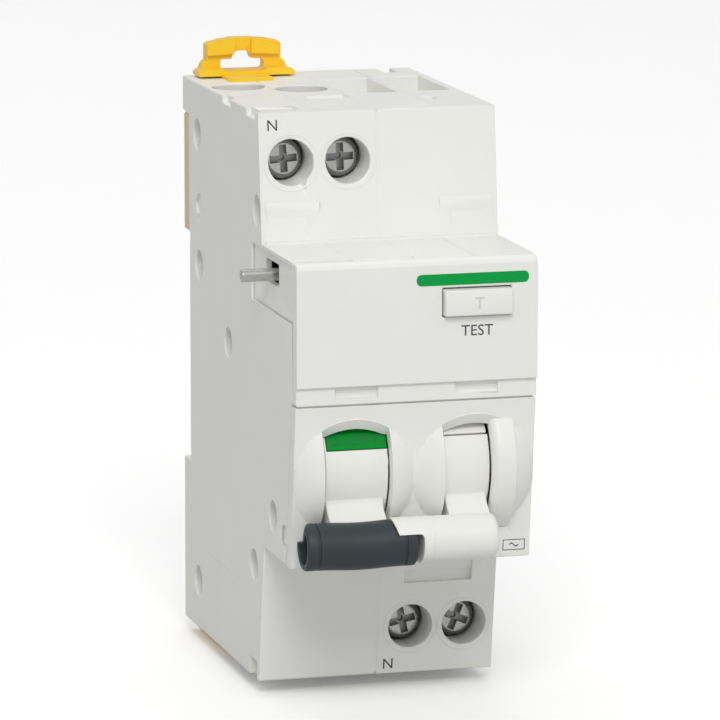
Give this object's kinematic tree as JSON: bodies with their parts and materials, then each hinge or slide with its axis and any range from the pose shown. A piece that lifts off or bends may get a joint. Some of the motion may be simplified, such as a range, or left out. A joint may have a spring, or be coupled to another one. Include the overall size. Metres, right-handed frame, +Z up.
{
  "type": "residual current device",
  "caption": "Rail-mounted circuit breaker and residual current unit side by side, with linked levers, test button, screw clamps and sliding rail clips.",
  "frame": {"origin": "centre of the face that rests on the rail: middle of the width, middle of the rail's height", "axes": "+X to the right across the two modules, -Y out of the front towards the levers, +Y towards the rail, +Z up"},
  "size_m": [0.0403, 0.0734, 0.0928],
  "materials": {
    "housing_white": "moulded, fine matt texture",
    "clip_yellow": "moulded, slight gloss",
    "spacer_beige": "moulded",
    "grip_slate": "moulded, satin",
    "indicator_green": "moulded",
    "plated_steel": "zinc plated",
    "copper": "bare copper",
    "brass": "plated brass",
    "black_moulding": "moulded",
    "board_green": "coated board"
  },
  "bodies": {
    "device": {"breaker_left_shell": "housing_white", "breaker_right_shell": "housing_white", "residual_left_shell": "housing_white", "residual_right_shell": "housing_white", "label_fascia": "housing_white", "lever_panel": "housing_white", "rear_spacer": "spacer_beige", "rivet_1": "plated_steel", "rivet_2": "plated_steel", "rivet_3": "plated_steel", "rivet_4": "plated_steel", "rivet_5": "plated_steel", "rivet_6": "plated_steel", "rivet_7": "plated_steel", "breaker_axle": "plated_steel", "residual_axle": "plated_steel", "carrier_axle": "plated_steel", "arc_chute": "plated_steel", "coil_yoke": "plated_steel", "phase_fixed_contact": "copper", "neutral_fixed_contact": "copper", "trip_coil": "copper", "flexible_braid": "copper", "terminal_plate_1": "copper", "terminal_plate_2": "copper", "toroid_winding": "copper", "phase_busbar": "copper", "neutral_busbar": "copper", "bimetal_strip": "brass", "coil_bobbin": "black_moulding", "trip_relay": "black_moulding", "toroid_core": "black_moulding", "circuit_board": "board_green"},
    "top_clip": {"top_rail_clip": "clip_yellow"},
    "bottom_clip": {"bottom_rail_clip": "clip_yellow"},
    "breaker_toggle": {"breaker_lever": "housing_white", "breaker_grip": "grip_slate", "open_indicator": "indicator_green"},
    "residual_toggle": {"residual_lever": "housing_white", "fault_flag": "housing_white"},
    "link": {"lever_link": "plated_steel"},
    "carrier": {"contact_carrier": "black_moulding", "phase_contact_arm": "copper", "neutral_contact_arm": "copper"},
    "plunger": {"trip_plunger": "plated_steel"},
    "breaker_latch": {"trip_latch": "black_moulding"},
    "unit_latch": {"residual_latch": "black_moulding"},
    "link_pin": {"trip_link_pin": "plated_steel"},
    "button": {"test_button": "housing_white", "test_spring": "plated_steel"},
    "relay_plunger": {"relay_pin": "plated_steel"},
    "screw_1": {"terminal_screw_1": "plated_steel"},
    "cage_1": {"terminal_cage_1": "brass"},
    "screw_2": {"terminal_screw_2": "plated_steel"},
    "cage_2": {"terminal_cage_2": "brass"},
    "screw_3": {"terminal_screw_3": "plated_steel"},
    "cage_3": {"terminal_cage_3": "brass"},
    "screw_4": {"terminal_screw_4": "plated_steel"},
    "cage_4": {"terminal_cage_4": "brass"}
  },
  "joints": [
    {"name": "breaker_lever_swing", "type": "hinge", "parent": "device", "child": "breaker_toggle", "pos_m": [-0.009, -0.0534, -0.0086], "axis": [-1, 0, 0], "range_deg": [0, 64]},
    {"name": "residual_lever_swing", "type": "hinge", "parent": "device", "child": "residual_toggle", "pos_m": [0.009, -0.0534, -0.0086], "axis": [-1, 0, 0], "range_deg": [0, 64]},
    {"name": "link_turn", "type": "hinge", "parent": "breaker_toggle", "child": "link", "pos_m": [-0.009, -0.05605, -0.00436], "axis": [1, 0, 0], "range_deg": [0, 64]},
    {"name": "contact_carrier_turn", "type": "hinge", "parent": "device", "child": "carrier", "pos_m": [-0.009, -0.03535, -0.00955], "axis": [-1, 0, 0], "range_deg": [0, 39]},
    {"name": "test_button_push", "type": "slide", "parent": "device", "child": "button", "axis": [0, 1, 0], "range_m": [0, 0.0015], "stiffness_N_per_m": 800, "springref_m": -0.0005},
    {"name": "top_clip_slide", "type": "slide", "parent": "device", "child": "top_clip", "axis": [0, 0, 1], "range_m": [0, 0.005]},
    {"name": "bottom_clip_slide", "type": "slide", "parent": "device", "child": "bottom_clip", "axis": [0, 0, -1], "range_m": [0, 0.004]},
    {"name": "trip_link_slide", "type": "slide", "parent": "device", "child": "link_pin", "axis": [0, 1, 0], "range_m": [0, 0.0034], "stiffness_N_per_m": 150, "springref_m": -0.0005},
    {"name": "trip_plunger_slide", "type": "slide", "parent": "device", "child": "plunger", "axis": [0, -1, 0], "range_m": [0, 0.002], "stiffness_N_per_m": 150, "springref_m": -0.0003},
    {"name": "trip_latch_turn", "type": "hinge", "parent": "device", "child": "breaker_latch", "pos_m": [-0.009, -0.0475, 0.006], "axis": [1, 0, 0], "range_deg": [0, 12], "stiffness_Nm_per_rad": 0.002, "springref_deg": -2.86},
    {"name": "residual_latch_turn", "type": "hinge", "parent": "device", "child": "unit_latch", "pos_m": [0.009, -0.0475, 0.006], "axis": [1, 0, 0], "range_deg": [0, 10], "stiffness_Nm_per_rad": 0.002, "springref_deg": -2.86},
    {"name": "relay_pin_slide", "type": "slide", "parent": "device", "child": "relay_plunger", "axis": [0, -1, 0], "range_m": [0, 0.0014], "stiffness_N_per_m": 150, "springref_m": -0.0003},
    {"name": "screw_1_turn", "type": "hinge", "parent": "device", "child": "screw_1", "pos_m": [-0.0132, -0.03785, 0.0342], "axis": [0, 1, 0], "range_deg": [0, 1800]},
    {"name": "cage_1_rise", "type": "slide", "parent": "device", "child": "cage_1", "axis": [0, -1, 0], "range_m": [0, 0.004]},
    {"name": "screw_2_turn", "type": "hinge", "parent": "device", "child": "screw_2", "pos_m": [-0.0046, -0.03785, 0.0342], "axis": [0, 1, 0], "range_deg": [0, 1800]},
    {"name": "cage_2_rise", "type": "slide", "parent": "device", "child": "cage_2", "axis": [0, -1, 0], "range_m": [0, 0.004]},
    {"name": "screw_3_turn", "type": "hinge", "parent": "device", "child": "screw_3", "pos_m": [0.0051, -0.03785, -0.0362], "axis": [0, 1, 0], "range_deg": [0, 1800]},
    {"name": "cage_3_rise", "type": "slide", "parent": "device", "child": "cage_3", "axis": [0, -1, 0], "range_m": [0, 0.004]},
    {"name": "screw_4_turn", "type": "hinge", "parent": "device", "child": "screw_4", "pos_m": [0.0134, -0.03785, -0.0362], "axis": [0, 1, 0], "range_deg": [0, 1800]},
    {"name": "cage_4_rise", "type": "slide", "parent": "device", "child": "cage_4", "axis": [0, -1, 0], "range_m": [0, 0.004]}
  ],
  "couplings": [
    {"joint": "residual_lever_swing", "follows": "breaker_lever_swing", "ratio": 1},
    {"joint": "link_turn", "follows": "breaker_lever_swing", "ratio": 1},
    {"joint": "contact_carrier_turn", "follows": "breaker_lever_swing", "ratio": 0.60442},
    {"joint": "screw_1_turn", "follows": "cage_1_rise", "rad_per_m": 7853.9},
    {"joint": "screw_2_turn", "follows": "cage_2_rise", "rad_per_m": 7853.9},
    {"joint": "screw_3_turn", "follows": "cage_3_rise", "rad_per_m": 7853.9},
    {"joint": "screw_4_turn", "follows": "cage_4_rise", "rad_per_m": 7853.9}
  ]
}
